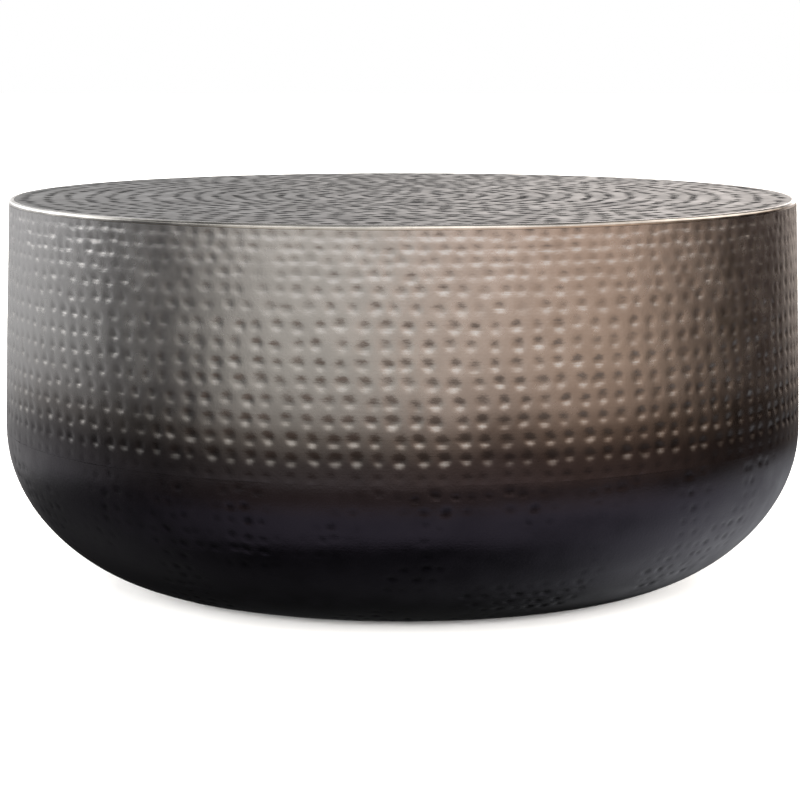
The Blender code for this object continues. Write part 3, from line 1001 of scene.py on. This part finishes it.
class DRUMTABLE_OT_floor_glides(bpy.types.Operator):
    """Turn a nylon glide with its screw pocket and set it out round the foot"""

    bl_idname = "drumtable.floor_glides"
    bl_label = "Floor glides"

    def execute(self, context):
        fixings = context.scene.drum_fixings
        ease, height = fixings.glide_round, GLIDE_HIGH.z
        edge = (GLIDE_HIGH.x - GLIDE_LOW.x) / 2
        bore = fixings.glide_screw / 2 + fixings.hole_clearance
        pocket = fixings.glide_screw_head / 2 + fixings.pocket_clearance
        web = height - fixings.glide_web
        lip = ease / 3
        section = [(bore, height)] + arc((edge - lip, height - lip), lip, 90, 0, 2)
        section += arc((edge - ease, ease), ease, 0, -90, 5)
        section += arc((pocket + lip, lip), lip, 270, 180, 3)
        section += [(pocket, web), (bore, web)]
        piece = turned("nylon_glide", section, GLIDE_STEPS)
        # Moulded nylon: black, half matt, with the fine grain of its mould.
        shade = context.scene.drum_colours.nylon
        finish = worked_finish("moulded black nylon", shade, 0.0, (0.45, 0.6), 1.5 * MM)
        set_out(piece, finish, "glide_nylon", GLIDES, 0.0)
        return {"FINISHED"}


class DRUMTABLE_OT_glide_screws(bpy.types.Operator):
    """Turn a flat head screw with a metric thread and set it out in the glides"""

    bl_idname = "drumtable.glide_screws"
    bl_label = "Glide screws"

    def execute(self, context):
        fixings = context.scene.drum_fixings
        low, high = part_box(GLIDE_SCREWS[0])
        seat = GLIDE_HIGH.z - fixings.glide_web - SEAT_GAP
        tip, under = high.z - seat, low.z - seat
        major, head = fixings.glide_screw / 2, fixings.glide_screw_head / 2
        core, pitch = 0.82 * major, fixings.glide_screw_pitch
        ease = 0.3 * MM
        section = [(0.0, under)] + arc((head - ease, under + ease), ease, 270, 360, 3)
        section += arc((head - ease, -ease), ease, 0, 90, 2)
        section += [(core, 0.0), (core, tip - ease), (core - ease, tip), (0.0, tip)]
        piece = threaded("flat_screw", section, core, major, pitch, pitch, tip - pitch)
        cross_recess(piece, under, 1.1 * head, -0.6 * under)
        # Bright zinc plated steel: the same blue white metal, a little glossier.
        shade = context.scene.drum_colours.zinc
        finish = worked_finish("bright zinc plated steel", shade, 1.0, (0.24, 0.38), 2 * MM)
        set_out(piece, finish, "screw_zinc", GLIDE_SCREWS, seat)
        return {"FINISHED"}


# Soft light panels on the studio dome: azimuth (0 towards the camera, 90 to its right), width and fade,
# then elevation, height and fade, all in degrees, then colour and strength.
PANELS = (
    ("back left sweep", -130, 60, 20, -8, 18, 4, 0xFFFEFE, 0.92),
    ("back left corner", -173, 18, 8, -2, 24, 6, 0xFFFDFC, 1.35),
    ("back right sweep", 166.5, 24, 7, 5.5, 9, 2.5, 0xFFF6F0, 2.98),
    ("right edge", 162, 40, 5, -2.5, 9, 6, 0xFFEEE2, 0.90),
    ("left flag", -77, 52, 12, 18, 64, 4, 0xFFFCFC, 0.12),
    ("front left wall", -25, 52, 12, -2, 20, 4, 0xFFF9F0, 1.06),
    ("front wall", 18, 34, 12, -2, 20, 4, 0xFFE4D2, 1.21),
    ("front right wall", 55, 40, 12, -2, 20, 4, 0xFFDAC0, 1.03),
    ("upper front left wall", -25, 52, 12, 29, 42, 4, 0xFFFDFB, 1.02),
    ("upper front wall", 18, 34, 12, 29, 42, 4, 0xFFFAF6, 1.07),
    ("upper front right wall", 55, 40, 12, 29, 42, 4, 0xFFF8F3, 0.84),
    ("right wall", 87, 22, 10, 18, 64, 4, 0xFFD8BA, 0.25),
    ("right dusk", 126, 30, 10, 6, 40, 6, 0xFF8C50, 0.024),
    ("right sparkle", 122, 40, 8, 11, 9, 3, 0xFFE6D0, 1.15),
    ("left sparkle", -126, 66, 10, 9, 14, 4, 0xFFFFFF, 2.6),
    ("high left", -114, 44, 10, 22, 26, 4, 0xFFFFFF, 2.2),
    ("high left flag", -64, 22, 10, 31, 46, 5, 0xFFFFFF, 0.30),
    ("high front left", -28, 48, 12, 31, 54, 5, 0xFFFDFA, 0.35),
    ("high front", 17, 38, 14, 33, 58, 5, 0xFFFAF6, 0.67),
    ("high front right", 52, 34, 12, 31, 54, 5, 0xFFF8F2, 0.47),
    ("high right", 90, 40, 12, 33, 50, 5, 0xFFF6EE, 1.3),
    ("strip light", 0, 150, 14, 21, 5, 2.5, 0xFFFDFB, 1.95),
    ("rim light", 20, 42, 12, 56, 36, 9, 0xFFF6EC, 2.3),
    ("high back left", -140, 44, 12, 29, 38, 8, 0xFFFFFF, 1.9),
    ("high back right", 118, 46, 12, 34, 36, 6, 0xFFF4EA, 2.6),
    ("high back", 180, 40, 12, 36, 40, 10, 0xFFFFFF, 0.12),
    ("overhead bank", 0, 720, 12, 90, 50, 10, 0xFFFFFF, 0.8),
    ("front foot", 10, 130, 16, -22, 18, 5, 0xFFE2D0, 0.46),
    ("low front", 0, 130, 16, -44, 30, 6, 0xFCF8FF, 0.58),
    ("right floor", 85, 60, 12, -27, 16, 5, 0xF8F8FF, 0.60),
    ("low right", 137, 54, 8, -26, 28, 4, 0xF8FAFF, 0.82),
    ("low right floor", 113, 66, 14, -46, 28, 8, 0xF8FAFF, 0.80),
    ("low left", -115, 60, 16, -34, 44, 8, 0xFFFFFF, 0.14),
    ("floor by the foot", 0, 720, 12, -90, 40, 8, 0xFFFFFF, 0.12),
)
DOME_FILL = 0.022


class DRUMTABLE_OT_studio(bpy.types.Operator):
    """Set up the pale floor, the soft studio dome and the camera"""

    bl_idname = "drumtable.studio"
    bl_label = "Studio"

    def execute(self, context):
        studio = context.scene.drum_studio
        self.add_floor(studio, context.scene.drum_colours.paper)
        self.add_dome(context.scene)
        self.add_floor_wash()
        self.add_camera(context.scene, studio)
        context.scene.view_settings.view_transform = "Standard"
        return {"FINISHED"}

    def add_floor(self, studio, shade):
        deselect()
        bpy.ops.mesh.primitive_plane_add(size=studio.floor)
        floor = name_piece("paper_floor")
        # Matt paper: plain white without any shine, so that only the contact shadow shows on it.
        material, tree, shader, _ = new_material("matt paper sweep")
        connect(tree, shader, {"Base Color": (*shade, 1.0), "Roughness": 1.0, "Specular IOR Level": 0.0})
        floor.data.materials.append(material)
        floor.visible_glossy = False
        floor.visible_diffuse = False

    def add_dome(self, scene):
        """Light the drum with the panels, and show the camera plain white behind it."""
        world = bpy.data.worlds.new("studio dome")
        scene.world = world
        world.use_nodes = True
        tree = world.node_tree
        tree.nodes.clear()
        ray = add(tree, "TexCoord").outputs["Generated"]
        parts = add(tree, "SeparateXYZ", (ray,)).outputs
        front = add(tree, "Math", (parts["Y"], -1.0), operation="MULTIPLY")
        turn = add(tree, "Math", (parts["X"], front), operation="ARCTAN2")
        turn = add(tree, "Math", (turn,), operation="DEGREES")
        rise = add(tree, "Math", (parts["Z"],), operation="ARCSINE")
        rise = add(tree, "Math", (rise,), operation="DEGREES")
        total = add(tree, "CombineXYZ", (DOME_FILL, DOME_FILL, DOME_FILL))
        for name, azimuth, width, side_fade, elevation, height, fade, code, strength in PANELS:
            aside = add(tree, "Math", (turn, azimuth), operation="SUBTRACT")
            aside = add(tree, "Math", (aside, 180.0, -180.0), operation="WRAP")
            over = add(tree, "Math", (rise, elevation), operation="SUBTRACT")
            fades = []
            for offset, half, soft in ((aside, width / 2, side_fade), (over, height / 2, fade)):
                away = add(tree, "Math", (offset,), operation="ABSOLUTE")
                edge = (away, half - soft, half + soft, 1.0, 0.0)
                fades.append(add(tree, "MapRange", edge, interpolation_type="SMOOTHSTEP"))
            share = add(tree, "Math", fades, operation="MULTIPLY", label=name)
            glow = tuple(strength * c for c in linear(code))
            lit = add(tree, "VectorMath", {0: glow, "Scale": share}, operation="SCALE")
            total = add(tree, "VectorMath", (total, lit), operation="ADD")
        dome = add(tree, "Background", {"Color": total})
        white = add(tree, "Background", {"Color": (1.0, 1.0, 1.0, 1.0)})
        seen = add(tree, "LightPath").outputs["Is Camera Ray"]
        mixed = add(tree, "MixShader", (seen, dome, white))
        add(tree, "OutputWorld", {"Surface": mixed})

    def add_floor_wash(self):
        """Low suns all round, so that the floor is white and only the contact shadow shows."""
        for k in range(WASH_SUNS):
            deselect()
            turn = FULL_TURN * (k + 0.5) / WASH_SUNS
            bpy.ops.object.light_add(type="SUN", rotation=(WASH_TILT, 0.0, turn))
            sun = bpy.context.object
            sun.name = f"floor_wash_{k + 1}"
            sun.data.energy = WASH_STRENGTH
            sun.data.angle = WASH_WIDTH
            sun.visible_glossy = False

    def add_camera(self, scene, studio):
        deselect()
        bpy.ops.object.camera_add(
            location=(studio.camera_side, -studio.camera_back, studio.camera_height),
            rotation=(QUARTER - studio.camera_dip, 0.0, 0.0),
        )
        camera = bpy.context.object
        camera.name = "studio_camera"
        camera.data.lens = studio.lens
        camera.data.sensor_width = SENSOR_WIDTH
        scene.camera = camera


class DRUMTABLE_PT_sidebar(bpy.types.Panel):
    """Lists the table's pieces, sizes and colours"""

    bl_idname = "DRUMTABLE_PT_sidebar"
    bl_label = "Drum Table"
    bl_space_type = "VIEW_3D"
    bl_region_type = "UI"
    bl_category = "Drum Table"

    def draw(self, context):
        for operator in OPERATORS:
            self.layout.operator(operator.bl_idname)
        for name in GROUPS:
            group = getattr(context.scene, name)
            for key in group.__annotations__:
                self.layout.prop(group, key)


GROUPS = {
    "drum_sizes": DrumSizes,
    "drum_hammer": HammerSizes,
    "drum_fixings": FixingSizes,
    "drum_colours": FinishColours,
    "drum_studio": StudioSizes,
}
OPERATORS = (
    DRUMTABLE_OT_hammered_wall,
    DRUMTABLE_OT_blackened_bowl,
    DRUMTABLE_OT_hammered_top,
    DRUMTABLE_OT_burnished_rim,
    DRUMTABLE_OT_fibreboard_disc,
    DRUMTABLE_OT_inner_steel,
    DRUMTABLE_OT_board_screws,
    DRUMTABLE_OT_floor_glides,
    DRUMTABLE_OT_glide_screws,
    DRUMTABLE_OT_studio,
)


def register():
    for made in (*GROUPS.values(), *OPERATORS, DRUMTABLE_PT_sidebar):
        bpy.utils.register_class(made)
    for name, group in GROUPS.items():
        setattr(bpy.types.Scene, name, PointerProperty(type=group))


def unregister():
    for name in GROUPS:
        delattr(bpy.types.Scene, name)
    for made in reversed((*GROUPS.values(), *OPERATORS, DRUMTABLE_PT_sidebar)):
        bpy.utils.unregister_class(made)


def main():
    register()
    bpy.ops.drumtable.hammered_wall()
    bpy.ops.drumtable.blackened_bowl()
    bpy.ops.drumtable.hammered_top()
    bpy.ops.drumtable.burnished_rim()
    bpy.ops.drumtable.fibreboard_disc()
    bpy.ops.drumtable.inner_steel()
    bpy.ops.drumtable.board_screws()
    bpy.ops.drumtable.floor_glides()
    bpy.ops.drumtable.glide_screws()
    bpy.ops.drumtable.studio()


if __name__ == "__main__":
    main()
